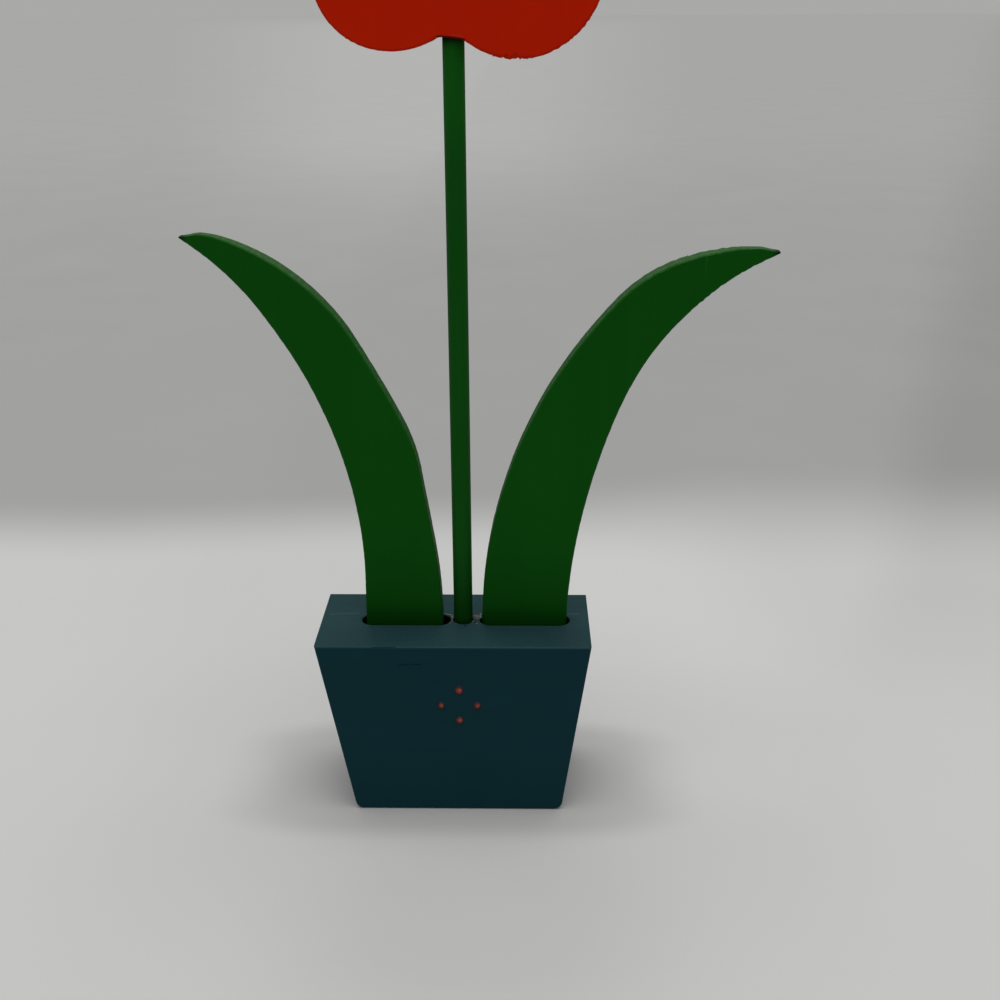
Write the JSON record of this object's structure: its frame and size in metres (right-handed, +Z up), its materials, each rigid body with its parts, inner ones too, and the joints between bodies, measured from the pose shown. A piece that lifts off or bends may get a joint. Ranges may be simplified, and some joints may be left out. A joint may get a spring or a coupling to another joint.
{
  "type": "wooden tulip ornament",
  "caption": "Painted wooden tulip on a dowel stem with curved leaves, standing in slots in a tapered block pot",
  "frame": {"origin": "middle of the pot's underside, straight below the middle of its top", "axes": "+Z up along the stem, +Y through the pot's thickness towards its back, +X to the right seen from the front"},
  "size_m": [0.1767, 0.0389, 0.3216],
  "materials": {
    "pot_paint": "satin deep teal paint on sanded softwood",
    "stem_paint": "satin green paint on a dowel",
    "blossom_paint": "matte orange-red paint on sawn board",
    "leaf_paint": "satin green paint on sawn board",
    "dot_paint": "raised drops of glossy orange-red paint"
  },
  "bodies": {
    "pot": {"pot": "pot_paint", "upper_dot": "dot_paint", "left_dot": "dot_paint", "right_dot": "dot_paint", "lower_dot": "dot_paint"},
    "left_leaf": {"left_leaf": "leaf_paint"},
    "right_leaf": {"right_leaf": "leaf_paint"},
    "stem": {"stem": "stem_paint"},
    "blossom": {"blossom": "blossom_paint"}
  },
  "joints": [
    {"name": "left_leaf_lift", "type": "slide", "parent": "pot", "child": "left_leaf", "axis": [0, 0, 1], "range_m": [0, 0.03]},
    {"name": "right_leaf_lift", "type": "slide", "parent": "pot", "child": "right_leaf", "axis": [0, 0, 1], "range_m": [0, 0.03]},
    {"name": "stem_lift", "type": "slide", "parent": "pot", "child": "stem", "axis": [0, 0, 1], "range_m": [0, 0.036]},
    {"name": "blossom_turn", "type": "hinge", "parent": "stem", "child": "blossom", "pos_m": [0.0027, 0, 0.2441], "axis": [0, 0, 1], "continuous": true}
  ]
}
